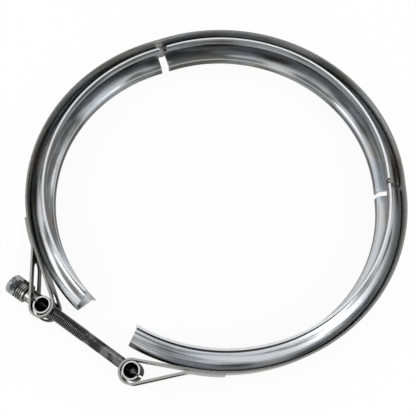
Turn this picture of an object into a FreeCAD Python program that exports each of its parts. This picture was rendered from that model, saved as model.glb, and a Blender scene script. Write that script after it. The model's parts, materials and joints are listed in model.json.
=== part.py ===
import FreeCAD, Part
import math
import os
import Sketcher
from FreeCAD import Placement, Rotation, Vector

# V band clamp, shown open: one strip of spring steel folded into a loop at each end, three V
# retainers spot welded inside it, and a T bolt that draws the two loops together.
#
# Frame: Z is the axis of the ring, the back retainer is centred on +Y and the opening is at -Y.
# Lengths are in millimetres, angles in degrees. Directions round the ring count from +X towards +Y.
# Each arm is laid out on the closed ring and then swung open about the bare strip beside it.

SIZES = {
    # the strip, round the closed ring
    "band_radius": 130.0,  # outer face
    "band_thickness": 1.2,
    "band_width": 20.0,
    "lap_length": 20.0,  # folded end laid back on the ring
    "lap_gap": 0.05,  # between the two layers
    "lap_bend": 12.0,  # radius where the folded end leaves the ring
    # the loops
    "left_loop_standoff": 12.6,  # loop centre outside the strip's outer face
    "left_loop_angle": 7.9,  # from the middle of the opening, closed
    "right_loop_standoff": 11.2,
    "right_loop_angle": 7.3,
    "loop_play": 0.8,  # radial room for the tube in its loop
    "seat_gap": 0.3,  # left where the tube lies against the inner leg
    "slot_width": 10.2,
    "slot_reach": 26.0,  # from the loop centre to the slot's round end
    # where the three retainers lie on the closed ring
    "left_gap_angle": 149.65,
    "left_gap": 5.6,
    "right_gap_angle": 30.6,
    "right_gap": 3.4,
    "left_end_gap": 3.6,  # from the middle of the opening, closed
    "right_end_gap": 7.0,
    # how far each arm springs open
    "left_opening": 5.18,
    "right_opening": 4.11,
    # section of a retainer
    "sheet_thickness": 1.5,
    "weld_gap": 0.02,  # between retainer and strip
    "web_half_width": 4.2,  # at the outer face
    "leg_angle": 26.0,  # from the radial direction
    "groove_depth": 12.98,  # from the web's outer face in to the lips' inner face
    "lip_length": 5.0,  # from the leg to the lip's edge
    "sheet_bend": 1.2,  # inner radius of every bend
    # rolled tubes in the loops
    "tube_diameter": 11.6,
    "tube_wall": 1.2,
    "tube_recess": 0.2,  # each end inside the strip's edge
    "tube_seam": 1.2,
    "tube_hole_play": 0.43,
    # T bolt
    "thread_diameter": 7.94,
    "shank_diameter": 7.1,
    "shank_length": 37.5,  # plain part, from the head's centre
    "head_play": 0.1,
    "bolt_recess": 0.5,  # bolt end below the nut's outer face
    "bolt_chamfer": 0.8,
    # sleeve and nut
    "sleeve_gap": 0.15,  # from the tube
    "neck_diameter": 9.6,
    "neck_length": 9.8,
    "collar_diameter": 13.0,
    "collar_length": 6.0,
    "sleeve_play": 0.13,
    "ring_depth": 0.35,
    "ring_width": 0.5,
    "stack_gap": 0.02,
    "nut_across_flats": 12.7,
    "nut_length": 8.0,
    "nut_play": 0.05,
    "nut_chamfer_angle": 30.0,
}

doc = FreeCAD.newDocument("v_band_clamp")
sheet = doc.addObject("Spreadsheet::Sheet", "sizes")
for row, (name, value) in enumerate(SIZES.items(), start=1):
    sheet.set(f"A{row}", name)
    sheet.set(f"B{row}", str(value))
    sheet.setAlias(f"B{row}", name)
doc.recompute()

Z_AXIS = Vector(0, 0, 1)
X_AXIS = Vector(1, 0, 0)
OPENING = -90.0


def size(name):
    return float(getattr(sheet, name))


def polar(radius, degrees):
    angle = math.radians(degrees)
    return Vector(radius * math.cos(angle), radius * math.sin(angle), 0)


def direction(vector):
    return math.degrees(math.atan2(vector.y, vector.x))


# ---------------------------------------------------------------- places

band_middle = size("band_radius") - size("band_thickness") / 2
degrees_per_mm = math.degrees(1 / band_middle)
gap_half = {
    "left": size("left_gap") / 2 * degrees_per_mm,
    "right": size("right_gap") / 2 * degrees_per_mm,
}
left_opened = Placement(
    Vector(), Rotation(Z_AXIS, -size("left_opening")), polar(band_middle, size("left_gap_angle"))
)
right_opened = Placement(
    Vector(), Rotation(Z_AXIS, size("right_opening")), polar(band_middle, size("right_gap_angle"))
)
tube_radius = size("tube_diameter") / 2
loop_inner = tube_radius + size("loop_play")
loop_middle = loop_inner + size("band_thickness") / 2


def loop_distance(side):
    return size("band_radius") + size(f"{side}_loop_standoff")


def leave_angle(distance):
    """Round the ring, from a loop's centre to where its inner leg leaves the ring."""
    return math.degrees(math.acos((band_middle + loop_middle) / distance))


def loop_and_tube(side, sign, opened):
    """Centres of a loop and of the tube, which lies against the loop's inner leg."""
    distance = loop_distance(side)
    angle = OPENING + sign * size(f"{side}_loop_angle")
    loop = polar(distance, angle)
    seat = size("loop_play") - size("seat_gap")
    tube = loop - polar(seat, angle + sign * leave_angle(distance))
    return opened.multVec(loop), opened.multVec(tube)


left_loop, left_tube = loop_and_tube("left", -1, left_opened)
right_loop, right_tube = loop_and_tube("right", 1, right_opened)
pull = (right_tube - left_tube).normalize()
bolt_span = (left_tube - right_tube).Length
# a frame whose Z runs along the bolt, from its head to its nut, and one that turns a tube to it
along_bolt = Rotation(Z_AXIS, direction(-pull)).multiply(Rotation(Vector(0, 1, 0), 90))
facing_nut = Rotation(Z_AXIS, direction(-pull))


# ---------------------------------------------------------------- strip


def line(start, end):
    return ("line", start, end)


def arc(centre, radius, start, sweep):
    """A positive sweep turns left."""
    return ("arc", centre, radius, start, sweep)


def beside(piece, left):
    """The edge that runs beside a piece of the path, at a distance to its left."""
    if piece[0] == "line":
        start, end = piece[1:]
        aside = Z_AXIS.cross(end - start).normalize() * left
        return Part.LineSegment(start + aside, end + aside).toShape()
    centre, radius, start, sweep = piece[1:]
    radius -= math.copysign(left, left * sweep)
    ends = [centre + polar(radius, start + sweep * share) for share in (0, 0.5, 1)]
    return Part.Arc(*ends).toShape()


def ribbon(path, thickness, width):
    """A flat strip on edge that follows a path in the middle plane."""
    edges = []
    for left in (thickness / 2, -thickness / 2):
        edges += [beside(piece, left) for piece in path]
    half = len(path)
    for here, there in ((0, half), (half - 1, 2 * half - 1)):
        at = -1 if here else 0
        ends = [sorted_ends(path[here], edges[n])[at] for n in (here, there)]
        edges.append(Part.LineSegment(*ends).toShape())
    face = Part.Face(Part.Wire(Part.__sortEdges__(edges)))
    solid = face.extrude(Z_AXIS * width)
    solid.translate(-Z_AXIS * width / 2)
    return solid


def sorted_ends(piece, edge):
    """An edge's two ends, in the order of the path."""
    start = piece[1] if piece[0] == "line" else piece[1] + polar(piece[2], piece[3])
    return sorted((v.Point for v in edge.Vertexes), key=lambda point: (point - start).Length)


def moved(path, placement):
    turn = placement.Rotation.getYawPitchRoll()[0]
    result = []
    for piece in path:
        if piece[0] == "line":
            result.append(line(*(placement.multVec(point) for point in piece[1:])))
        else:
            centre, radius, start, sweep = piece[1:]
            result.append(arc(placement.multVec(centre), radius, start + turn, sweep))
    return result


def mirrored(path):
    """The path seen in a mirror on the YZ plane, run the other way."""

    def flip(point):
        return Vector(-point.x, point.y, point.z)

    result = []
    for piece in reversed(path):
        if piece[0] == "line":
            result.append(line(flip(piece[2]), flip(piece[1])))
        else:
            centre, radius, start, sweep = piece[1:]
            result.append(arc(flip(centre), radius, 180 - start - sweep, sweep))
    return result


def arm_path(distance, loop_angle, gap_edge):
    """The closed left arm's strip, from its folded end round the loop to the gap at its back."""
    lap_middle = band_middle + size("band_thickness") + size("lap_gap")
    centre = polar(distance, OPENING - loop_angle)
    # the inner leg touches the ring and passes the loop on the ring's side
    leave = OPENING - loop_angle - leave_angle(distance)
    outward = polar(1, leave)
    # the outer leg bends away from the ring just before that, and passes the loop outside
    bend = size("lap_bend")
    bend_at = leave - size("band_thickness") * degrees_per_mm
    bend_centre = polar(lap_middle + bend, bend_at)
    across = centre - bend_centre
    heading = direction(across) - math.degrees(math.asin((loop_middle + bend) / across.Length))
    left = polar(1, heading + 90)
    lap = size("lap_length") * degrees_per_mm
    return [
        arc(Vector(), lap_middle, bend_at - lap, lap),
        arc(bend_centre, bend, bend_at + 180, heading - bend_at - 90),
        line(bend_centre + left * bend, centre - left * loop_middle),
        arc(centre, loop_middle, heading - 90, leave + 270 - heading),
        line(centre - outward * loop_middle, outward * band_middle),
        arc(Vector(), band_middle, leave, gap_edge - 360 - leave),
    ]


def bridge(start, start_heading, end, end_heading):
    """The bare strip across a gap, tangent to the strip on both sides."""
    turn = (end_heading - start_heading + 180) % 360 - 180
    radius = (end - start).Length / 2 / math.sin(math.radians(abs(turn) / 2))
    side = math.copysign(90, turn)
    centre = start + polar(radius, start_heading + side)
    return arc(centre, radius, start_heading - side, turn)


def strip_ends(path):
    """Where a path starts and ends, and its heading there."""
    found = []
    for piece, share in ((path[0], 0), (path[-1], 1)):
        centre, radius, start, sweep = piece[1:]
        at = start + sweep * share
        found.append((centre + polar(radius, at), at + math.copysign(90, sweep)))
    return found


def slot_tool(centre, angle):
    """Cuts the slot through both legs of a loop and round its nose."""
    half, reach = size("slot_width") / 2, size("slot_reach")
    nose = loop_inner + size("band_thickness") * 2
    deep = 4 * nose
    box = Part.makeBox(reach + nose, deep, 2 * half, Vector(-reach, -deep / 2, -half))
    end = Part.makeCylinder(half, deep, Vector(-reach, -deep / 2, 0), Vector(0, 1, 0))
    tool = box.fuse(end)
    tool.Placement = Placement(centre, Rotation(Z_AXIS, angle))
    return tool


def strip():
    left_edge = size("left_gap_angle") + gap_half["left"]
    right_edge = size("right_gap_angle") - gap_half["right"]
    left_arm = arm_path(loop_distance("left"), size("left_loop_angle"), left_edge)
    left_arm = moved(left_arm, left_opened)
    right_arm = arm_path(loop_distance("right"), size("right_loop_angle"), 180 - right_edge)
    right_arm = moved(mirrored(right_arm), right_opened)
    back_start = size("left_gap_angle") - gap_half["left"]
    back_end = size("right_gap_angle") + gap_half["right"]
    back = [arc(Vector(), band_middle, back_start, back_end - back_start)]
    (_, left_end), (back_in, back_out) = strip_ends(left_arm), strip_ends(back)
    right_start = strip_ends(right_arm)[0]
    path = left_arm + [bridge(*left_end, *back_in)] + back
    path += [bridge(*back_out, *right_start)] + right_arm
    solid = ribbon(path, size("band_thickness"), size("band_width"))
    # the legs lie either side of the line from the ring's side of the loop
    for loop, angle in ((left_loop, left_arm[2]), (right_loop, right_arm[-3])):
        leg = angle[2] - angle[1]
        turn = direction(leg) if loop is left_loop else direction(-leg)
        solid = solid.cut(slot_tool(loop, turn))
    return solid


band_strap = doc.addObject("Part::Feature", "band_strap")
band_strap.Shape = strip()


# ---------------------------------------------------------------- sketched bodies


def sketch(body, name, role, corners):
    """A closed outline whose corners are tied to the sheet by expressions."""
    plane = next(f for f in body.Origin.OriginFeatures if f.Role == role)
    made = body.newObject("Sketcher::SketchObject", name)
    made.AttachmentSupport = (plane, "")
    made.MapMode = "FlatFace"
    count = len(corners)
    rough = [polar(100, 360 * n / count) for n in range(count)]
    for n in range(count):
        made.addGeometry(Part.LineSegment(rough[n], rough[(n + 1) % count]))
    for n, (across, up) in enumerate(corners):
        made.addConstraint(Sketcher.Constraint("Coincident", n - 1 if n else count - 1, 2, n, 1))
        for kind, value, formula in (("DistanceX", rough[n].x, across), ("DistanceY", rough[n].y, up)):
            number = made.addConstraint(Sketcher.Constraint(kind, -1, 1, n, 1, value))
            made.setExpression(f"Constraints[{number}]", formula)
    return made


def turned(name, corners):
    """A body turned about its own Z: each corner is a radius and a height."""
    body = doc.addObject("PartDesign::Body", name)
    outline = sketch(body, f"{name}_outline", "XZ_Plane", corners)
    made = body.newObject("PartDesign::Revolution", f"{name}_turning")
    made.Profile = outline
    made.ReferenceAxis = (outline, ["V_Axis"])
    made.Angle = 360
    doc.recompute()
    return body


# ---------------------------------------------------------------- retainers

WEB_OUTER = "(sizes.band_radius - sizes.band_thickness - sizes.weld_gap)"
LIP_INNER = f"({WEB_OUTER} - sizes.groove_depth)"
LEG = "(sizes.leg_angle * 1deg)"
# a bend turns by the rest of a right angle, and one flat, tangent to its arc, stands for it
BEND_HALF = f"((90deg - {LEG}) / 2)"
FLAT = f"((1 / cos({BEND_HALF}) - 1) / sin({BEND_HALF}))"
INNER_FLAT = f"(sizes.sheet_bend * {FLAT})"
OUTER_FLAT = f"((sizes.sheet_bend + sizes.sheet_thickness) * {FLAT})"


def half_section():
    """Corners of the upper half of a retainer's section, from the web to the lip and back."""
    web_inner = f"({WEB_OUTER} - sizes.sheet_thickness)"
    lip_outer = f"({LIP_INNER} + sizes.sheet_thickness)"

    def outer(radius):
        return f"sizes.web_half_width + ({WEB_OUTER} - {radius}) * tan({LEG})"

    def inner(radius):
        return f"{outer(radius)} - sizes.sheet_thickness / cos({LEG})"

    def up_the_leg(radius, height, flat):
        return f"{radius} - {flat} * cos({LEG})", f"{height} + {flat} * sin({LEG})"

    def down_the_leg(radius, height, flat):
        return f"{radius} + {flat} * cos({LEG})", f"{height} - {flat} * sin({LEG})"

    lip_edge = f"{outer(lip_outer)} + sizes.lip_length"
    return [
        (WEB_OUTER, f"{outer(WEB_OUTER)} - {OUTER_FLAT}"),
        up_the_leg(WEB_OUTER, outer(WEB_OUTER), OUTER_FLAT),
        down_the_leg(lip_outer, outer(lip_outer), INNER_FLAT),
        (lip_outer, f"{outer(lip_outer)} + {INNER_FLAT}"),
        (lip_outer, lip_edge),
        (LIP_INNER, lip_edge),
        (LIP_INNER, f"{inner(LIP_INNER)} + {OUTER_FLAT}"),
        down_the_leg(LIP_INNER, inner(LIP_INNER), OUTER_FLAT),
        up_the_leg(web_inner, inner(web_inner), INNER_FLAT),
        (web_inner, f"{inner(web_inner)} - {INNER_FLAT}"),
    ]


def retainer(name, middle, span, opened):
    """A V retainer, revolved over its span."""
    body = doc.addObject("PartDesign::Body", name)
    upper = half_section()
    lower = [(across, f"-({up})") for across, up in reversed(upper)]
    outline = sketch(body, f"{name}_section", "XZ_Plane", upper + lower)
    rolled = body.newObject("PartDesign::Revolution", f"{name}_rolled")
    rolled.Profile = outline
    rolled.ReferenceAxis = (outline, ["V_Axis"])
    rolled.Midplane = True
    rolled.Angle = span
    doc.recompute()

    body.Placement = opened.multiply(Placement(Vector(), Rotation(Z_AXIS, middle)))
    return body


left_from = size("left_gap_angle") + gap_half["left"]
left_to = OPENING + 360 - size("left_end_gap") * degrees_per_mm
right_from = OPENING + size("right_end_gap") * degrees_per_mm
right_to = size("right_gap_angle") - gap_half["right"]
back_from = size("right_gap_angle") + gap_half["right"]
back_to = size("left_gap_angle") - gap_half["left"]
retainers = [
    retainer("retainer_back", (back_from + back_to) / 2, back_to - back_from, Placement()),
    retainer("retainer_left", (left_from + left_to) / 2, left_to - left_from, left_opened),
    retainer("retainer_right", (right_from + right_to) / 2, right_to - right_from, right_opened),
]


# ---------------------------------------------------------------- tubes


def rolled_tube(name, centre, seam_side, hole, both_walls):
    """A tube rolled from sheet, open along its seam, with a hole across it for the bolt."""
    outer, inner = tube_radius, tube_radius - size("tube_wall")
    length = size("band_width") - 2 * size("tube_recess")
    wall = Part.makeCylinder(outer, length, Vector(0, 0, -length / 2))
    wall = wall.cut(Part.makeCylinder(inner, length, Vector(0, 0, -length / 2)))
    seam = Part.makeBox(outer, size("tube_seam"), length, Vector(0, -size("tube_seam") / 2, -length / 2))
    seam.rotate(Vector(), Z_AXIS, 0 if seam_side > 0 else 180)
    start = Vector(-outer if both_walls else 0, 0, 0)
    drill = Part.makeCylinder(hole, 2 * outer if both_walls else outer, start, X_AXIS)
    tube = doc.addObject("Part::Feature", name)
    tube.Shape = wall.cut([seam, drill])
    tube.Placement = Placement(centre, facing_nut)
    return tube


bolt_hole = size("thread_diameter") / 2 + size("tube_hole_play")
shank_hole = size("shank_diameter") / 2 + size("tube_hole_play")
trunnion_tube = rolled_tube("trunnion_tube", left_tube, 1, bolt_hole, True)
head_tube = rolled_tube("head_tube", right_tube, -1, shank_hole, False)


# ---------------------------------------------------------------- T bolt, sleeve, nut

head_radius = tube_radius - size("tube_wall") - size("head_play")
neck_start = bolt_span + tube_radius + size("sleeve_gap")
nut_start = neck_start + size("neck_length") + size("collar_length") + size("stack_gap")
bolt_end = nut_start + size("nut_length") - size("bolt_recess")


def place_on_bolt(piece, height):
    piece.Placement = Placement(right_tube - pull * height, along_bolt)


t_bolt = turned(
    "t_bolt",
    [
        ("0", "0"),
        ("sizes.shank_diameter / 2", "0"),
        ("sizes.shank_diameter / 2", "sizes.shank_length"),
        ("sizes.thread_diameter / 2", "sizes.shank_length + sizes.bolt_chamfer"),
        ("sizes.thread_diameter / 2", f"{bolt_end} - sizes.bolt_chamfer"),
        ("sizes.thread_diameter / 2 - sizes.bolt_chamfer", f"{bolt_end}"),
        ("0", f"{bolt_end}"),
    ],
)
ball = t_bolt.newObject("PartDesign::AdditiveSphere", "t_bolt_head")
ball.setExpression(
    "Radius", "sizes.tube_diameter / 2 - sizes.tube_wall - sizes.head_play"
)
place_on_bolt(t_bolt, 0)

bore = "(sizes.thread_diameter / 2 + sizes.sleeve_play)"
neck = "sizes.neck_diameter / 2"
collar = "sizes.collar_diameter / 2"
sleeve_end = "sizes.neck_length + sizes.collar_length"
groove_low = f"{sleeve_end} - sizes.ring_width * 2"
groove_high = f"{sleeve_end} - sizes.ring_width"
groove_floor = f"{collar} - sizes.ring_depth"
thrust_sleeve = turned(
    "thrust_sleeve",
    [
        (bore, "0"),
        (neck, "0"),
        (neck, "sizes.neck_length"),
        (collar, "sizes.neck_length"),
        (collar, groove_low),
        (groove_floor, groove_low),
        (groove_floor, groove_high),
        (collar, groove_high),
        (collar, sleeve_end),
        (bore, sleeve_end),
    ],
)
place_on_bolt(thrust_sleeve, neck_start)

# the nut is a hexagon trimmed by a cone at each end
hexagon = doc.addObject("Part::Prism", "nut_hexagon")
hexagon.Polygon = 6
hexagon.setExpression("Circumradius", "sizes.nut_across_flats / 2 / cos(30deg)")
hexagon.setExpression("Height", "sizes.nut_length")
CORNER = "sizes.nut_across_flats / 2 / cos(30deg)"
DROP = f"(({CORNER}) - sizes.nut_across_flats / 2 + 0.3) * tan(sizes.nut_chamfer_angle * 1deg)"
nut_bore = "sizes.thread_diameter / 2 + sizes.nut_play"
trim = turned(
    "nut_trim",
    [
        (nut_bore, "0"),
        ("sizes.nut_across_flats / 2 - 0.3", "0"),
        (CORNER, DROP),
        (CORNER, f"sizes.nut_length - 2 * {DROP}"),
        ("sizes.nut_across_flats / 2 - 0.9", "sizes.nut_length"),
        (nut_bore, "sizes.nut_length"),
    ],
)
lock_nut = doc.addObject("Part::Common", "lock_nut")
lock_nut.Base = hexagon
lock_nut.Tool = trim
doc.recompute()
place_on_bolt(lock_nut, nut_start)

# ---------------------------------------------------------------- checks and files

SUB_PARTS = [band_strap, *retainers, trunnion_tube, head_tube, t_bolt, thrust_sleeve, lock_nut]
for part in SUB_PARTS:
    part.Label = part.Name
doc.recompute()
for thing in doc.Objects:
    if "Invalid" in thing.State or "Error" in thing.State:
        raise RuntimeError(f"{thing.Name} failed: {thing.State}")
for part in SUB_PARTS:
    if part.Shape.isNull() or not part.Shape.isValid() or len(part.Shape.Solids) != 1:
        raise RuntimeError(f"{part.Label} is not one valid solid")
os.makedirs("parts", exist_ok=True)
for part in SUB_PARTS:
    part.Shape.exportStep(f"parts/{part.Label}.step")
    print(f"{part.Label}: {part.Shape.Volume:.1f} mm3")
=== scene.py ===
import json
import math
from collections import namedtuple

import bmesh
import bpy
from mathutils import Matrix, Vector


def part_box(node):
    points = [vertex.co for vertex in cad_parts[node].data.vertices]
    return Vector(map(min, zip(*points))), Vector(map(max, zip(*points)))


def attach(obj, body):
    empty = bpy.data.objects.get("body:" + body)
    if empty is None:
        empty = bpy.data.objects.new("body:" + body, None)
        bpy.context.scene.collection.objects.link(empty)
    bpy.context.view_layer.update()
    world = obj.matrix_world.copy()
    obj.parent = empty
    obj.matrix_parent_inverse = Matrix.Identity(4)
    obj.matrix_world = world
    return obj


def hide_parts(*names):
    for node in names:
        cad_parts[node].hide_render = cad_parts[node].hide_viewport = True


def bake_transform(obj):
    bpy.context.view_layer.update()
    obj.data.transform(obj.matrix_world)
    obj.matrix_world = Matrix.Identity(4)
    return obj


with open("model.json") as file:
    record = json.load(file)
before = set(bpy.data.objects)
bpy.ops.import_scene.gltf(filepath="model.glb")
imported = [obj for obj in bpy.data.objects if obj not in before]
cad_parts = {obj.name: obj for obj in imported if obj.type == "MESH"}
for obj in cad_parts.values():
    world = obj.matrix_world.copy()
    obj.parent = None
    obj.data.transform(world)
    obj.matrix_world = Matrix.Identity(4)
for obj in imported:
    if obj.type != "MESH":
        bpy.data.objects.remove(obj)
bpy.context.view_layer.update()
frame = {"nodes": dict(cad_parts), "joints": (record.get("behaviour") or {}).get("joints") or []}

# ------------------------------------------------------------------ sizes and places
# Points are in metres. Plain lengths are in mm, and MM turns them into metres.

MM = 0.001
ORIGIN = Vector()
joints = {joint["name"]: joint for joint in frame["joints"]}


def opened(point, hinge, degrees):
    """Where a point of the closed clamp goes when its arm swings open."""
    turn = Matrix.Rotation(math.radians(degrees), 3, "Z")
    return hinge + turn @ (point - hinge)


Arm = namedtuple("Arm", "body side hinge opening centre tube")


def hinged_arm(body, side, tube_joint, opening):
    """An arm of the ring: its hinge, its opening in degrees, its arc's centre and its tube."""
    hinge = Vector(joints[f"{body}_flex"]["pos_m"])
    tube = Vector(joints[tube_joint]["pos_m"])
    return Arm(body, side, hinge, opening, opened(ORIGIN, hinge, opening), tube)


LEFT = hinged_arm("left_arm", -1, "trunnion_turn", -5.18)
RIGHT = hinged_arm("right_arm", 1, "bolt_swing", 4.11)

# The retainer's section: radii from the ring's centre, heights from its middle plane.
WEB_OUTER, WEB_HALF = 128.78, 4.2
LIP_INNER, LIP_REACH = 115.8, 14.8
SHEET, BEND = 1.5, 1.2
LEG_ANGLE = math.radians(26)
LIP_ROUND = 0.2

# The three retainers round the ring: each gap's angle and width, and how far the two ends
# near the bolt stop from the ring's lowest point, along the strap's middle.
RING_MIDDLE = 129.4
DEGREES_PER_MM = math.degrees(1 / RING_MIDDLE)
LEFT_GAP_ANGLE, LEFT_GAP = 149.65, 5.6
RIGHT_GAP_ANGLE, RIGHT_GAP = 30.6, 3.4
LEFT_END, RIGHT_END = 3.6, 7.0
RETAINER_STEP_DEGREES = 1.2

# The strap's loops and slots. The slot is found by its place from the tube's centre.
LOOP_MIDDLE = 7.2
SLOT_HALF, SLOT_FAR_END, SLOT_CUT_BACK = 5.3, 25.0, 22.4
INNER_LEG = -5.5

# How far the cut edges of each kind of piece are rounded.
RETAINER_EDGE, STRAP_EDGE, TUBE_EDGE = 0.18, 0.16, 0.15

# The bolt and what it carries, measured along it from the head's centre.
HEAD_CENTRE = RIGHT.tube
TO_HEAD = Vector(joints["sleeve_slide"]["axis"]).normalized()
TO_NUT = -TO_HEAD
UPRIGHT = Vector((0, 0, 1))
ACROSS = UPRIGHT.cross(TO_NUT).normalized()
TUBE_RADIUS, SEAT_GAP = 5.8, 0.15
NECK_LENGTH, COLLAR_LENGTH = 9.8, 6.0
NUT_GAP, NUT_HEIGHT, NUT_FLATS, NUT_BORE = 0.02, 8.0, 12.7, 4.02
NECK_START = (LEFT.tube - RIGHT.tube).length / MM + TUBE_RADIUS + SEAT_GAP
COLLAR_START = NECK_START + NECK_LENGTH
COLLAR_END = COLLAR_START + COLLAR_LENGTH
NUT_START = COLLAR_END + NUT_GAP

HEAD_RADIUS, SHANK = 4.5, 3.55
SHANK_HEIGHTS = (3.2, 6, 12, 20, 28, 34, 36.6)
THREAD_CREST, THREAD_ROOT, PITCH = 3.95, 3.32, 1.14
END_INSIDE_NUT = 0.6
THREAD_START, THREAD_END = 37.5, NUT_START + NUT_HEIGHT - END_INSIDE_NUT
RUN_IN, RUN_OUT = 1.2, 0.8
CREST_SHARE, FLANK_SHARE = 0.12, 0.76

NECK_RADIUS, COLLAR_RADIUS, SLEEVE_BORE = 4.8, 6.5, 4.12
NECK_CHAMFER, NECK_FILLET, COLLAR_CHAMFER, SEAT_CHAMFER = 0.2, 0.25, 0.3, 0.4
GROOVE_WIDTH, GROOVE_DEPTH, GROOVE_WALL = 0.62, 0.35, 0.12
FIRST_GROOVE, GROOVE_PITCH = 1.2, 1.55
COLLAR_GROOVES = [COLLAR_START + FIRST_GROOVE + GROOVE_PITCH * n for n in range(3)]

# The nut's eased corners, the cone at its foot and the dome at its crown. Its rings of
# points lie closer together where these cut it.
CORNER_EASE = 0.12
FOOT_CUT, FOOT_SLOPE = 0.25, 1.7
CROWN_CUT, CROWN_ROUND = 1.15, 1.35
NUT_RINGS = (0.0, 0.15, 0.35, 0.6, 0.9, 1.3, 3.0, 4.5, 5.2, 5.6, 6.0, 6.4, 6.8, 7.1, 7.4, 7.7, 7.9)

# ------------------------------------------------------------------ mesh helpers


def link(name, data):
    item = bpy.data.objects.new(name, data)
    bpy.context.scene.collection.objects.link(item)
    return item


def add_mesh(name, verts, faces):
    mesh = bpy.data.meshes.new(name)
    mesh.from_pydata([tuple(v) for v in verts], [], faces)
    mesh.validate()
    edit = bmesh.new()
    edit.from_mesh(mesh)
    bmesh.ops.recalc_face_normals(edit, faces=edit.faces)
    edit.to_mesh(mesh)
    edit.free()
    for poly in mesh.polygons:
        poly.use_smooth = True
    return link(name, mesh)


def add_rings(name, rings, closed=False):
    """A skin over rings of points. Its ends are capped, unless the last ring meets the first."""
    count = len(rings[0])
    spans = len(rings) if closed else len(rings) - 1
    faces = []
    for n in range(spans):
        here = n * count
        ahead = (n + 1) % len(rings) * count
        for k in range(count):
            j = (k + 1) % count
            faces.append((here + k, here + j, ahead + j, ahead + k))
    if not closed:
        faces.append(tuple(range(count)))
        faces.append(tuple(spans * count + k for k in reversed(range(count))))
    return add_mesh(name, [point for ring in rings for point in ring], faces)


def apply_modifiers(piece):
    shown = piece.evaluated_get(bpy.context.evaluated_depsgraph_get())
    mesh = bpy.data.meshes.new_from_object(shown)
    piece.modifiers.clear()
    piece.data = mesh


def mark_sharp(piece, degrees):
    edit = bmesh.new()
    edit.from_mesh(piece.data)
    for edge in edit.edges:
        if len(edge.link_faces) == 2:
            edge.smooth = edge.calc_face_angle(0) < math.radians(degrees)
    edit.to_mesh(piece.data)
    edit.free()


def soften(piece, width, angle, smooth_under=40):
    """Round the edges sharper than an angle, and give the rounding the second material."""
    bevel = piece.modifiers.new("edges", "BEVEL")
    bevel.material = 1
    bevel.width = width * MM
    bevel.segments = 2
    bevel.limit_method = "ANGLE"
    bevel.angle_limit = math.radians(angle)
    apply_modifiers(piece)
    for poly in piece.data.polygons:
        poly.use_smooth = True
    mark_sharp(piece, smooth_under)
    normals = piece.modifiers.new("normals", "WEIGHTED_NORMAL")
    normals.keep_sharp = True
    apply_modifiers(piece)


def rounded(corners, steps=6):
    """A closed outline with each corner (x, y, radius) rounded off."""
    outline = []
    count = len(corners)
    for n, (x, y, radius) in enumerate(corners):
        here = Vector((x, y))
        back = Vector(corners[n - 1][:2]) - here
        ahead = Vector(corners[(n + 1) % count][:2]) - here
        back.normalize()
        ahead.normalize()
        half = back.angle(ahead) / 2
        reach = radius / math.tan(half)
        centre = here + (back + ahead).normalized() * radius / math.sin(half)
        first = here + back * reach - centre
        last = here + ahead * reach - centre
        sweep = first.angle_signed(last)
        for step in range(steps + 1):
            turn = Matrix.Rotation(-sweep * step / steps, 2)
            outline.append(centre + turn @ first)
    return outline


def dress(piece, *materials):
    piece.data.materials.clear()
    for material in materials:
        piece.data.materials.append(material)


# ------------------------------------------------------------------ shader nodes


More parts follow.
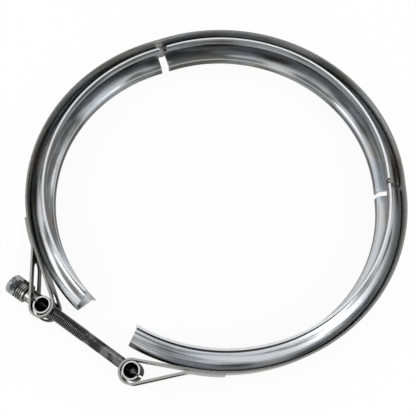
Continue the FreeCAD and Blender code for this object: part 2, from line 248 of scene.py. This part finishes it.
class Graph:
    """A short way to write the shader nodes of a material or a world."""

    def __init__(self, owner):
        owner.use_nodes = True
        self.owner = owner
        self.nodes = owner.node_tree.nodes
        self.links = owner.node_tree.links

    def add(self, kind, inputs=None, **settings):
        node = self.nodes.new(kind)
        for name, value in settings.items():
            setattr(node, name, value)
        for name, value in (inputs or {}).items():
            self.put(node.inputs[name], value)
        return node

    def put(self, socket, value):
        if isinstance(value, bpy.types.NodeSocket):
            self.links.new(value, socket)
        else:
            socket.default_value = value

    def math(self, operation, *values):
        node = self.add("ShaderNodeMath", dict(enumerate(values)), operation=operation)
        return node.outputs[0]

    def mix(self, factor, a, b, blend="MIX"):
        inputs = {0: factor, 6: a, 7: b}
        return self.add("ShaderNodeMix", inputs, data_type="RGBA", blend_type=blend).outputs[2]

    def paint(self, base, colour, *masks, strength=1.0):
        """Lay a colour over a base where every mask is 1."""
        cover = strength
        for mask in masks:
            cover = self.math("MULTIPLY", mask, cover)
        return self.mix(cover, base, colour)

    def tint(self, base, colour, mask):
        """Multiply a base by a colour where a mask is 1."""
        return self.mix(mask, base, self.mix(1.0, base, colour, "MULTIPLY"))

    def spread(self, value, low, high, to_low=0.0, to_high=1.0):
        """Go smoothly from one number to another as a value goes from low to high."""
        inputs = dict(enumerate((value, low, high, to_low, to_high)))
        return self.add("ShaderNodeMapRange", inputs, interpolation_type="SMOOTHSTEP").outputs[0]

    def above(self, value, low, high):
        """A mask that is 1 past a length, and fades in between two lengths in mm."""
        return self.spread(value, low * MM, high * MM)

    def below(self, value, low, high):
        """A mask that is 1 under a length, and fades out between two lengths in mm."""
        return self.spread(value, low * MM, high * MM, 1.0, 0.0)

    def band(self, value, low, high, fade):
        """A mask that is 1 between two lengths in mm, with a fade outside them."""
        rise = self.above(value, low - fade, low)
        return self.math("MULTIPLY", rise, self.below(value, high, high + fade))

    def noise(self, vector, scale, detail=3.0, roughness=0.55):
        inputs = {"Vector": vector, "Scale": scale, "Detail": detail, "Roughness": roughness}
        return self.add("ShaderNodeTexNoise", inputs).outputs["Fac"]

    def vector(self, x, y, z):
        return self.add("ShaderNodeCombineXYZ", {0: x, 1: y, 2: z}).outputs[0]

    def split(self, vector):
        return self.add("ShaderNodeSeparateXYZ", {0: vector}).outputs

    def vector_math(self, operation, *vectors):
        return self.add("ShaderNodeVectorMath", dict(enumerate(vectors)), operation=operation)

    def offset(self, centre):
        """Object position, measured from a point."""
        place = self.add("ShaderNodeTexCoord").outputs["Object"]
        return self.vector_math("SUBTRACT", place, tuple(centre)).outputs["Vector"]

    def ring_coordinates(self, centre):
        """Position, unit direction, radius and height round the Z axis through a centre."""
        place = self.offset(centre)
        x, y, height = self.split(place)
        flat = self.vector(x, y, 0.0)
        around = self.vector_math("NORMALIZE", flat).outputs["Vector"]
        return place, around, self.vector_math("LENGTH", flat).outputs["Value"], height

    def seen(self):
        """1 for what the camera, a reflection or glass shows, and 0 for light on the object."""
        rays = self.add("ShaderNodeLightPath").outputs
        seen = self.math("MAXIMUM", rays["Is Camera Ray"], rays["Is Glossy Ray"])
        return self.math("MAXIMUM", seen, rays["Is Transmission Ray"])


def material_graph(name):
    return Graph(bpy.data.materials.new(name))


def rgb(r, g, b):
    return (r, g, b, 1.0)


def grey(level):
    return rgb(level, level, level)


# ------------------------------------------------------------------ finishes

# Painted shade, laid where faces meet, in creases and bends, in the strap's loops, in bores and in
# the thread's roots.
PAINTED_SHADE = rgb(0.008, 0.0075, 0.007)
# Painted highlight, for the rounded edges, the retainers' inner bends and their cut lips.
PAINTED_HIGHLIGHT = rgb(0.66, 0.67, 0.69)
# The next two are painted shade, in the retainers' groove and on their lips' inner faces.
GROOVE_PAINTED_SHADE = rgb(0.03, 0.032, 0.031)
LIP_PAINTED_SHADE = rgb(0.085, 0.082, 0.075)
SPOT = rgb(0.07, 0.066, 0.062)
SCRATCH = rgb(0.04, 0.038, 0.036)
# Painted highlight on the thread's crests.
THREAD_CREST_PAINTED_HIGHLIGHT = rgb(0.20, 0.20, 0.205)
# Painted highlight on the tubes' end faces.
TUBE_END_PAINTED_HIGHLIGHT = grey(0.60)
STRAP_EDGE_RING, STRAP_EDGE_LOOP = rgb(0.20, 0.20, 0.195), rgb(0.36, 0.36, 0.355)
BLUE, STRAW = rgb(0.92, 0.985, 1.06), rgb(1.10, 1.0, 0.88)
# How far ambient occlusion reaches, and how strongly it lays painted shade where faces meet.
CREASE_REACH, CREASE_STRENGTH = 1.6, 0.6

# Noise round the ring: cells for each radius of arc, and cells for each metre across the strip.
STREAKS, ROLLING_LINES = (2.3, 330.0), (4.0, 2400.0)
# Plain noise, in cells for each metre.
CLOUDS, BLOTCHES, BLUE_PATCHES, STRAW_PATCHES = 38.0, 260.0, 21.0, 27.0
SCRATCHES_TUBE, SCRATCHES_BOLT, SCRATCHES_EDGE, SPECKS = 700.0, 900.0, 600.0, 170.0

# Where a finish changes, as the start and end of a fade in mm. On the retainers, radii from
# the ring's centre, heights from its middle plane, and heights over a leg's outer face.
# On the retainers these fades place the painted shade in the groove, by the web, on the lip's inner
# face and along the outer bend, and the painted highlight on the inner bend and the cut lip.
INNER_FACE, UNDER_LIP, DEEP_GROOVE = (-1.1, -0.7), (8.6, 9.6), (117.0, 123.5)
WEB_CREASE = (126.9, 128.0)
LIP_FACE_RADIUS, LIP_FACE_HEIGHT = (116.2, 116.5), (9.9, 10.4)
INNER_BEND_RADIUS, INNER_BEND_HEIGHT = (116.3, 116.8), (9.2, 9.7)
OUTER_BEND_RADIUS, OUTER_BEND_HEIGHT = (117.15, 117.95), (9.0, 10.3)
CUT_LIP = (LIP_REACH - 0.14, LIP_REACH - 0.02)
# On the strap and the tubes, radii and heights.
# LOOP_RADIUS places the painted shade in the strap's loops.
LOOP_RADIUS, LOOP_EDGE_RADIUS, STRAP_SIDE = (131.2, 132.6), (129.0, 131.8), (9.75, 9.88)
# TUBE_END places the painted highlight on the tubes' end faces.
TUBE_END, TUBE_WALL = (9.5, 9.66), (5.4, 5.6)
# On the bolt and what it carries, radii from its axis, and lengths along it.
# On the bolt and its pieces these fades place painted shade in the thread's roots and the bores,
# and a painted highlight on the thread's crests.
THREAD_FLANK, SLEEVE_BORE_PAINTED_SHADE, NUT_BORE_PAINTED_SHADE = (3.6, 3.82), (4.1, 4.3), (4.0, 4.4)
THREAD_RUN_IN = (THREAD_START, THREAD_START + 0.4)
COLLAR_SHADOW = (COLLAR_START - 0.5, COLLAR_START - 0.05)
NUT_SHADOW = (NUT_START - 0.1, NUT_START + 0.5)
LINE_FADE = 0.12

Strip = namedtuple("Strip", "base radius height lines relief")


def finish(g, base, rough, relief, strength, depth, edge_tint=0.6, metal=1.0):
    """Set the shader: metal with painted shade where faces meet, and a bump up to a depth in mm."""
    # Painted shade where faces meet, found by ambient occlusion.
    shelter = g.add("ShaderNodeAmbientOcclusion", {"Distance": CREASE_REACH * MM}, samples=8)
    open_air = g.spread(shelter.outputs["AO"], 0.1, 0.65)
    shader = g.nodes["Principled BSDF"]
    g.put(shader.inputs["Base Color"], g.mix(open_air, g.mix(CREASE_STRENGTH, base, PAINTED_SHADE), base))
    g.put(shader.inputs["Metallic"], metal)
    g.put(shader.inputs["Specular Tint"], grey(edge_tint))
    g.put(shader.inputs["Roughness"], rough)
    bump = g.add("ShaderNodeBump", {"Strength": strength, "Distance": depth * MM, "Height": relief})
    g.put(shader.inputs["Normal"], bump.outputs[0])
    return g.owner


def drawn_noise(g, around, section, cells, detail, roughness=0.55):
    """Noise drawn out round the ring, which changes quickly across the section."""
    per_radius, per_metre = cells
    x, y, _ = g.split(around)
    vector = g.vector(
        g.math("MULTIPLY", x, per_radius),
        g.math("MULTIPLY", y, per_radius),
        g.math("MULTIPLY", section, per_metre),
    )
    return g.noise(vector, 1.0, detail, roughness)


def rolled(g, centre, dark, light, tint):
    """Stainless strip: long soft streaks, partly the rolling's grain and partly painted reflection,
    one side of the ring painted lighter as painted reflection, rolling lines, faint blue and straw,
    and small spots.
    """
    place, around, radius, height = g.ring_coordinates(centre)
    section = g.math("SUBTRACT", radius, g.math("MULTIPLY", height, 0.8))
    streaks = drawn_noise(g, around, section, STREAKS, 1.0)
    lines = drawn_noise(g, around, section, ROLLING_LINES, 3.0, 0.6)
    clouds = g.noise(place, CLOUDS, 3.0)
    blotches = g.noise(place, BLOTCHES, 4.0, 0.65)
    # One side of the ring is painted lighter than the other: a painted reflection.
    side = g.vector_math("DOT_PRODUCT", around, (0.95, 0.1, 0)).outputs["Value"]
    streaks_and_lit_side = g.math("MULTIPLY_ADD", side, 0.08, streaks)
    shade = g.math("ADD", streaks_and_lit_side, g.math("MULTIPLY", g.math("SUBTRACT", clouds, 0.5), 0.35))
    base = g.mix(g.spread(shade, 0.30, 0.62), dark, light)
    base = g.paint(base, grey(0.05), g.spread(lines, 0.45, 0.7), strength=0.16)
    blue = g.spread(g.noise(place, BLUE_PATCHES, 2.0), 0.50, 0.70, 0.0, tint)
    straw = g.spread(g.noise(place, STRAW_PATCHES, 2.0), 0.28, 0.46, tint, 0.0)
    base = g.tint(base, BLUE, blue)
    base = g.tint(base, STRAW, straw)
    spots = g.spread(blotches, 0.60, 0.78)
    base = g.paint(base, SPOT, spots, strength=0.3)
    relief = g.math("ADD", lines, g.math("MULTIPLY", blotches, 0.6))
    return Strip(base, radius, height, lines, relief)


def retainer_finish(name, centre):
    """A pressed channel: painted shade in its groove, by its web, on its lips' inner faces and
    along its outer bends, and a painted highlight on its inner bends and cut lips.
    """
    g = material_graph(name)
    strip = rolled(g, centre, rgb(0.11, 0.111, 0.108), rgb(0.60, 0.62, 0.65), 0.8)
    radius, rise = strip.radius, g.math("ABSOLUTE", strip.height)
    slope = g.math("MULTIPLY", g.math("SUBTRACT", WEB_OUTER * MM, radius), math.tan(LEG_ANGLE))
    over_leg = g.math("SUBTRACT", g.math("SUBTRACT", rise, WEB_HALF * MM), slope)
    inside = g.math("MULTIPLY", g.below(over_leg, *INNER_FACE), g.below(rise, *UNDER_LIP))
    deep = g.above(radius, *DEEP_GROOVE)
    lip_face = g.math(
        "MULTIPLY", g.below(radius, *LIP_FACE_RADIUS), g.above(rise, *LIP_FACE_HEIGHT)
    )
    inner_bend = g.math(
        "MULTIPLY", g.below(radius, *INNER_BEND_RADIUS), g.band(rise, *INNER_BEND_HEIGHT, 0.4)
    )
    outer_bend = g.math(
        "MULTIPLY",
        g.band(radius, *OUTER_BEND_RADIUS, 0.35),
        g.band(rise, *OUTER_BEND_HEIGHT, 0.5),
    )
    # Painted shade in the groove, by the web, on the lip's inner face and along the outer bend; a
    # painted highlight on the inner bend and the cut lip.
    base = g.paint(strip.base, GROOVE_PAINTED_SHADE, inside, deep, strength=0.55)
    base = g.paint(base, PAINTED_SHADE, g.above(radius, *WEB_CREASE), strength=0.45)
    base = g.paint(base, LIP_PAINTED_SHADE, lip_face, strength=0.62)
    base = g.paint(base, PAINTED_HIGHLIGHT, inner_bend, strength=0.6)
    base = g.paint(base, PAINTED_SHADE, outer_bend, strength=0.9)
    base = g.paint(base, PAINTED_HIGHLIGHT, g.above(rise, *CUT_LIP))
    rough = g.spread(strip.lines, 0.3, 0.7, 0.2, 0.34)
    return finish(g, base, rough, strip.relief, 0.12, 0.08)


def strap_finish(name, centre):
    """The strap: dull on its faces, with painted shade darkening its loops, lighter on its cut
    edges.
    """
    g = material_graph(name)
    strip = rolled(g, ORIGIN, rgb(0.23, 0.228, 0.218), rgb(0.42, 0.415, 0.40), 0.7)
    arm_radius = g.ring_coordinates(centre)[2]
    radius = g.math("MINIMUM", strip.radius, arm_radius)
    # Painted shade in the loops.
    base = g.paint(strip.base, PAINTED_SHADE, g.above(radius, *LOOP_RADIUS), strength=0.92)
    edge = g.mix(g.above(radius, *LOOP_EDGE_RADIUS), STRAP_EDGE_RING, STRAP_EDGE_LOOP)
    base = g.paint(base, edge, g.above(g.math("ABSOLUTE", strip.height), *STRAP_SIDE))
    rough = g.spread(strip.lines, 0.3, 0.7, 0.22, 0.36)
    return finish(g, base, rough, strip.relief, 0.12, 0.08, edge_tint=0.3, metal=0.45)


def scratched(g, dark, light, scratches):
    """Turned or drawn steel: short scratches and a little dirt."""
    place = g.offset(ORIGIN)
    fine = g.noise(place, scratches, 4.0, 0.65)
    base = g.mix(g.spread(g.noise(place, SPECKS, 3.0), 0.40, 0.60), dark, light)
    base = g.paint(base, SCRATCH, g.spread(fine, 0.55, 0.8), strength=0.45)
    return base, fine


def tube_finish(name, centre):
    """A rolled tube: dark outside, with a ring of painted highlight on each end face."""
    g = material_graph(name)
    base, fine = scratched(g, rgb(0.05, 0.05, 0.052), rgb(0.12, 0.12, 0.122), SCRATCHES_TUBE)
    _, _, radius, height = g.ring_coordinates(centre)
    end_face = g.above(g.math("ABSOLUTE", height), *TUBE_END)
    # Painted highlight on each end face.
    base = g.paint(base, TUBE_END_PAINTED_HIGHLIGHT, end_face, g.below(radius, *TUBE_WALL))
    return finish(g, base, g.spread(fine, 0.3, 0.75, 0.2, 0.36), fine, 0.15, 0.06, edge_tint=0.1)


def bolt_coordinates(g):
    """Distance from the bolt's axis, and distance along it from the head's centre."""
    place = g.offset(HEAD_CENTRE)
    aside = g.vector_math("CROSS_PRODUCT", place, tuple(TO_NUT)).outputs["Vector"]
    along = g.vector_math("DOT_PRODUCT", place, tuple(TO_NUT)).outputs["Value"]
    return g.vector_math("LENGTH", aside).outputs["Value"], along


def bolt_finish():
    """The bolt: dark, with painted shade in its thread's roots and a painted highlight on its
    crests.
    """
    g = material_graph("bolt_steel")
    base, fine = scratched(g, rgb(0.035, 0.035, 0.037), rgb(0.15, 0.15, 0.153), SCRATCHES_BOLT)
    radius, along = bolt_coordinates(g)
    # Painted shade in the thread's roots, and a painted highlight on its crests.
    thread = g.mix(g.above(radius, *THREAD_FLANK), PAINTED_SHADE, THREAD_CREST_PAINTED_HIGHLIGHT)
    base = g.paint(base, thread, g.above(along, *THREAD_RUN_IN))
    return finish(g, base, g.spread(fine, 0.3, 0.75, 0.14, 0.30), fine, 0.15, 0.06)


def turned_finish(name, dark, light, bore, bore_shade_strength, lines, painted_line_shade):
    """A piece turned round the bolt: painted shade at its bore, and dark lines (start, end) of
    painted shade along it.
    """
    g = material_graph(name)
    base, fine = scratched(g, dark, light, SCRATCHES_BOLT)
    radius, along = bolt_coordinates(g)
    # Painted shade at the bore and along the lines.
    base = g.paint(base, PAINTED_SHADE, g.below(radius, *bore), strength=bore_shade_strength)
    for start, end in lines:
        base = g.paint(base, painted_line_shade, g.band(along, start, end, LINE_FADE), strength=0.92)
    return finish(g, base, g.spread(fine, 0.3, 0.75, 0.18, 0.34), fine, 0.15, 0.06)


def sleeve_finish():
    """The sleeve: plain steel, with painted shade in its collar's grooves and where its neck meets
    it.
    """
    lines = [(start, start + GROOVE_WIDTH) for start in COLLAR_GROOVES]
    lines.append(COLLAR_SHADOW)
    dark, light = rgb(0.12, 0.12, 0.117), rgb(0.40, 0.40, 0.395)
    return turned_finish("sleeve_steel", dark, light, SLEEVE_BORE_PAINTED_SHADE, 0.5, lines, grey(0.02))


def nut_finish():
    """The nut: lighter steel, with painted shade in its bore and where it meets the collar."""
    dark, light = rgb(0.05, 0.05, 0.052), rgb(0.34, 0.35, 0.36)
    return turned_finish("nut_steel", dark, light, NUT_BORE_PAINTED_SHADE, 0.9, [NUT_SHADOW], grey(0.015))


def edge_finish():
    """Steel painted light as a highlight, for cut and rounded edges."""
    g = material_graph("edge_highlight")
    fine = g.noise(g.offset(ORIGIN), SCRATCHES_EDGE, 3.0)
    base = g.mix(g.spread(fine, 0.4, 0.75), PAINTED_HIGHLIGHT, grey(0.30))
    return finish(g, base, g.spread(fine, 0.3, 0.7, 0.22, 0.36), fine, 0.1, 0.05)


back_steel = retainer_finish("retainer_steel", ORIGIN)
left_steel = retainer_finish("retainer_steel_left", LEFT.centre)
right_steel = retainer_finish("retainer_steel_right", RIGHT.centre)
left_strap_steel = strap_finish("strap_steel_left", LEFT.centre)
right_strap_steel = strap_finish("strap_steel_right", RIGHT.centre)
trunnion_steel = tube_finish("tube_steel", LEFT.tube)
head_steel = tube_finish("tube_steel_head", RIGHT.tube)
bolt_steel = bolt_finish()
sleeve_steel = sleeve_finish()
nut_steel = nut_finish()
edge_highlight = edge_finish()


# ------------------------------------------------------------------ retainers


def leg_height(radius):
    """The height of a leg's outer face above the middle plane, at a radius."""
    return WEB_HALF + (WEB_OUTER - radius) * math.tan(LEG_ANGLE)


def retainer_section():
    """A V channel with a flat web and a turned-out lip on each leg."""
    step = SHEET / math.cos(LEG_ANGLE)
    lip_outer, web_inner = LIP_INNER + SHEET, WEB_OUTER - SHEET
    upper = [
        (WEB_OUTER, WEB_HALF, BEND + SHEET),
        (lip_outer, leg_height(lip_outer), BEND),
        (lip_outer, LIP_REACH, LIP_ROUND),
        (LIP_INNER, LIP_REACH, LIP_ROUND),
        (LIP_INNER, leg_height(LIP_INNER) - step, BEND + SHEET),
        (web_inner, leg_height(web_inner) - step, BEND),
    ]
    lower = [(x, -y, radius) for x, y, radius in reversed(upper)]
    return rounded(upper + lower)


def retainer(node, steel, start, end, hinge=ORIGIN, opening=0.0):
    """Sweep the section round the ring from one angle to another, then open its arm."""
    outline = retainer_section()
    steps = int((end - start) / RETAINER_STEP_DEGREES)
    rings = []
    for n in range(steps + 1):
        turn = math.radians(start + (end - start) * n / steps)
        ring = []
        for point in outline:
            at = Vector((point.x * math.cos(turn), point.x * math.sin(turn), point.y)) * MM
            ring.append(opened(at, hinge, opening))
        rings.append(ring)
    piece = add_rings(f"{node}_pressing", rings)
    dress(piece, steel, edge_highlight)
    soften(piece, RETAINER_EDGE, angle=60)
    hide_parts(node)
    return piece


left_half_gap = LEFT_GAP / 2 * DEGREES_PER_MM
right_half_gap = RIGHT_GAP / 2 * DEGREES_PER_MM
back = retainer(
    "retainer_back",
    back_steel,
    RIGHT_GAP_ANGLE + right_half_gap,
    LEFT_GAP_ANGLE - left_half_gap,
)
left = retainer(
    "retainer_left",
    left_steel,
    LEFT_GAP_ANGLE + left_half_gap,
    270 - LEFT_END * DEGREES_PER_MM,
    LEFT.hinge,
    LEFT.opening,
)
right = retainer(
    "retainer_right",
    right_steel,
    -90 + RIGHT_END * DEGREES_PER_MM,
    RIGHT_GAP_ANGLE - right_half_gap,
    RIGHT.hinge,
    RIGHT.opening,
)
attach(back, "band_middle")
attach(left, "left_arm")
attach(right, "right_arm")


# ------------------------------------------------------------------ strap


def cad_copy(node, name):
    """A copy of the solid's surface, with its flat faces whole again."""
    edit = bmesh.new()
    edit.from_mesh(frame["nodes"][node].data)
    bmesh.ops.remove_doubles(edit, verts=edit.verts, dist=1e-6)
    bmesh.ops.dissolve_limit(
        edit, angle_limit=math.radians(0.5), verts=edit.verts, edges=edit.edges, delimit=set()
    )
    mesh = bpy.data.meshes.new(name)
    edit.to_mesh(mesh)
    edit.free()
    return link(name, mesh)


def shorten_slot(edit, arm):
    """Draw the inner leg's slot end in to just past the tube; the outer leg's stays long."""
    away = Vector((arm.tube.x - arm.centre.x, arm.tube.y - arm.centre.y, 0))
    leave = math.acos((RING_MIDDLE + LOOP_MIDDLE) * MM / away.length)
    outward = Matrix.Rotation(arm.side * leave, 3, "Z") @ away.normalized()
    along = outward.cross(Vector((0, 0, -arm.side)))
    for vertex in edit.verts:
        place = (vertex.co - arm.tube) / MM
        on_slot = abs(place.z) < SLOT_HALF and place.dot(along) > SLOT_FAR_END
        if on_slot and place.dot(outward) < INNER_LEG:
            vertex.co -= along * SLOT_CUT_BACK * MM


def half_strap(name, arm, steel):
    """The strap on one side of the middle."""
    piece = cad_copy("band_strap", name)
    edit = bmesh.new()
    edit.from_mesh(piece.data)
    bmesh.ops.bisect_plane(
        edit,
        geom=edit.verts[:] + edit.edges[:] + edit.faces[:],
        plane_co=(0, 0, 0),
        plane_no=(-arm.side, 0, 0),
        clear_outer=True,
        dist=1e-7,
    )
    shorten_slot(edit, arm)
    edit.to_mesh(piece.data)
    edit.free()
    dress(piece, steel, edge_highlight)
    soften(piece, STRAP_EDGE, angle=50)
    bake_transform(piece)
    return piece


left_strap = half_strap("strap_left_half", LEFT, left_strap_steel)
right_strap = half_strap("strap_right_half", RIGHT, right_strap_steel)
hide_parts("band_strap")
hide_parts("band_strap")


# ------------------------------------------------------------------ tubes

for node, body, steel in (
    ("trunnion_tube", "trunnion", trunnion_steel),
    ("head_tube", "bolt", head_steel),
):
    piece = cad_copy(node, f"{node}_rolled")
    dress(piece, steel, steel)
    soften(piece, TUBE_EDGE, angle=50)
    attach(piece, body)
    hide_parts(node)


# ------------------------------------------------------------------ bolt, sleeve, nut


def bolt_ring(radius, height, count):
    """Points round the bolt's axis. The radius is a number, or a function of the angle."""
    ring = []
    for k in range(count):
        turn = math.tau * k / count
        out = radius(turn) if callable(radius) else radius
        around = ACROSS * math.cos(turn) + UPRIGHT * math.sin(turn)
        ring.append(HEAD_CENTRE + TO_NUT * height * MM + around * out * MM)
    return ring


def clamped(share):
    return min(1.0, max(0.0, share))


def thread_radius(height, turn):
    """The helical thread's radius, which grows out of the shank and fades out at the end."""
    phase = (height / PITCH - turn / math.tau) % 1
    depth = clamped((abs(phase - 0.5) * 2 - CREST_SHARE) / FLANK_SHARE)
    full = THREAD_CREST - (THREAD_CREST - THREAD_ROOT) * depth
    if height < THREAD_START + RUN_IN:
        return SHANK + (full - SHANK) * clamped((height - THREAD_START) / RUN_IN)
    return THREAD_ROOT + (full - THREAD_ROOT) * clamped((THREAD_END - height) / RUN_OUT)


def threaded_bolt(count=64, rings_per_pitch=8):
    """A round head that narrows to the shank, then the thread."""
    rings = []
    for degrees in range(-90, 31, 10):
        angle = math.radians(degrees)
        # The head's pole is a pinhole, so that its points stay apart.
        radius = max(HEAD_RADIUS * math.cos(angle), 0.01)
        rings.append(bolt_ring(radius, HEAD_RADIUS * math.sin(angle), count))
    rings += [bolt_ring(SHANK, height, count) for height in SHANK_HEIGHTS]
    length = THREAD_END - THREAD_START
    steps = int(length / PITCH * rings_per_pitch)
    for n in range(steps + 1):
        height = THREAD_START + length * n / steps
        rings.append(bolt_ring(lambda turn: thread_radius(height, turn), height, count))
    return add_rings("t_bolt_threaded", rings)


def thrust_sleeve(count=72):
    """A neck and a collar, with fine grooves turned round the collar."""
    profile = [
        (SLEEVE_BORE, NECK_START),
        (NECK_RADIUS - NECK_CHAMFER, NECK_START),
        (NECK_RADIUS, NECK_START + NECK_CHAMFER),
        (NECK_RADIUS, COLLAR_START - NECK_FILLET),
        (NECK_RADIUS + NECK_FILLET, COLLAR_START),
        (COLLAR_RADIUS - COLLAR_CHAMFER, COLLAR_START),
        (COLLAR_RADIUS, COLLAR_START + COLLAR_CHAMFER),
    ]
    for start in COLLAR_GROOVES:
        profile += [
            (COLLAR_RADIUS, start),
            (COLLAR_RADIUS - GROOVE_DEPTH, start + GROOVE_WALL),
            (COLLAR_RADIUS - GROOVE_DEPTH, start + GROOVE_WIDTH - GROOVE_WALL),
            (COLLAR_RADIUS, start + GROOVE_WIDTH),
        ]
    profile += [
        (COLLAR_RADIUS, COLLAR_END - COLLAR_CHAMFER),
        (COLLAR_RADIUS - SEAT_CHAMFER, COLLAR_END),
        (SLEEVE_BORE, COLLAR_END),
    ]
    rings = [bolt_ring(radius, height, count) for radius, height in profile]
    return add_rings("thrust_sleeve_turned", rings, closed=True)


def nut_radius(height, turn):
    """A hexagon with its corners eased, cut by a cone at its foot and a dome at its crown."""
    half = NUT_FLATS / 2
    from_flat = (turn + math.radians(30)) % math.radians(60) - math.radians(30)
    corner = half / math.cos(math.radians(30)) - CORNER_EASE
    foot = half - FOOT_CUT + height * FOOT_SLOPE
    crown = half - CROWN_CUT + math.sqrt(NUT_HEIGHT - height) * CROWN_ROUND
    return min(half / math.cos(from_flat), corner, foot, crown)


def hex_nut(count=96):
    """The nut, closed on itself through its plain bore."""
    rings = [bolt_ring(NUT_BORE, NUT_START, count)]
    for height in (*NUT_RINGS, NUT_HEIGHT):
        rings.append(bolt_ring(lambda turn: nut_radius(height, turn), NUT_START + height, count))
    rings.append(bolt_ring(NUT_BORE, NUT_START + NUT_HEIGHT, count))
    return add_rings("lock_nut_faced", rings, closed=True)


bolt = threaded_bolt()
mark_sharp(bolt, 50)
dress(bolt, bolt_steel)
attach(bolt, "bolt")
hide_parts("t_bolt")

sleeve = thrust_sleeve()
mark_sharp(sleeve, 40)
dress(sleeve, sleeve_steel)
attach(sleeve, "sleeve")
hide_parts("thrust_sleeve")

nut = hex_nut()
mark_sharp(nut, 28)
dress(nut, nut_steel)
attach(nut, "nut")
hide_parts("lock_nut")


# ------------------------------------------------------------------ the replaced CAD nodes

for node, steel in (
    ("band_strap", left_strap_steel),
    ("retainer_back", back_steel),
    ("retainer_left", left_steel),
    ("retainer_right", right_steel),
    ("trunnion_tube", trunnion_steel),
    ("head_tube", head_steel),
    ("t_bolt", bolt_steel),
    ("thrust_sleeve", sleeve_steel),
    ("lock_nut", nut_steel),
):
    dress(frame["nodes"][node], steel)


# ------------------------------------------------------------------ floor, light, camera

# The floor's side in metres, its distance under the retainers in mm, and how much of what
# the camera sees of it is its own white.
FLOOR_SIZE, FLOOR_GAP, FLOOR_GLOW = 8, 0.2, 0.92
# The white world's strength as a light, and where it is seen.
WORLD_LIGHT, WORLD_SEEN = 0.8, 1.0
# Each lamp's place in metres, its width in metres and its power in watts.
LAMPS = {
    "key": ((-0.50, -0.50, 0.58), 0.45, 1.3),
    "side": ((0.70, 0.02, 0.58), 0.40, 1.2),
    "top": ((-0.1, 0.5, 0.9), 0.40, 0.8),
}
# The photograph's viewpoint, from a fit of the ring, the tubes and the gaps.
EYE = Vector((78.1, -136.3, 306.3)) * MM
VIEW_AHEAD = Vector((-0.2168, 0.3243, -0.9207))
VIEW_RIGHT = Vector((0.812, 0.5835, 0.0143))
SENSOR, LENS = 36.0, 40.0673
NEAREST_METRES = 0.01


def pale_floor():
    """A white floor that keeps the object's shadow, and shows its own white to the camera."""
    lowest = min(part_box(f"retainer_{side}")[0].z for side in ("back", "left", "right"))
    place = (0, 0, lowest - FLOOR_GAP * MM)
    bpy.ops.mesh.primitive_plane_add(size=FLOOR_SIZE, location=place)
    floor = bpy.context.object
    floor.name = "floor"
    g = material_graph("floor_white")
    paint = g.nodes["Principled BSDF"]
    g.put(paint.inputs["Base Color"], grey(0.92))
    g.put(paint.inputs["Roughness"], 0.9)
    glow = g.add("ShaderNodeEmission", {"Color": grey(1), "Strength": 1.0})
    share = g.math("MULTIPLY", g.seen(), FLOOR_GLOW)
    blend = g.add("ShaderNodeMixShader", {0: share, 1: paint.outputs[0], 2: glow.outputs[0]})
    g.put(g.nodes["Material Output"].inputs["Surface"], blend.outputs[0])
    dress(floor, g.owner)
    return floor


def pale_world():
    """White where it is seen, and a little dimmer as a light."""
    g = Graph(bpy.data.worlds.new("studio"))
    background = g.nodes["Background"]
    g.put(background.inputs["Color"], grey(1))
    g.put(background.inputs["Strength"], g.spread(g.seen(), 0.0, 1.0, WORLD_LIGHT, WORLD_SEEN))
    bpy.context.scene.world = g.owner


def lamp(name, place, size, power):
    """A round soft lamp that faces the clamp's middle."""
    data = bpy.data.lights.new(name, "AREA")
    data.shape = "DISK"
    data.size = size
    data.energy = power
    item = link(name, data)
    item.location = place
    item.rotation_euler = (-Vector(place)).to_track_quat("-Z", "Y").to_euler()


def fitted_camera():
    """A camera at the photograph's viewpoint."""
    data = bpy.data.cameras.new("camera")
    data.sensor_width = SENSOR
    data.lens = LENS
    data.clip_start = NEAREST_METRES
    camera = link("camera", data)
    ahead = VIEW_AHEAD.normalized()
    right_hand = (VIEW_RIGHT - ahead * VIEW_RIGHT.dot(ahead)).normalized()
    up = right_hand.cross(ahead)
    turn = Matrix((right_hand, up, -ahead)).transposed().to_4x4()
    camera.matrix_world = Matrix.Translation(EYE) @ turn
    bpy.context.scene.camera = camera


pale_floor()
pale_world()
for name, (place, size, power) in LAMPS.items():
    lamp(name, place, size, power)
fitted_camera()
bpy.context.scene.view_settings.view_transform = "Standard"
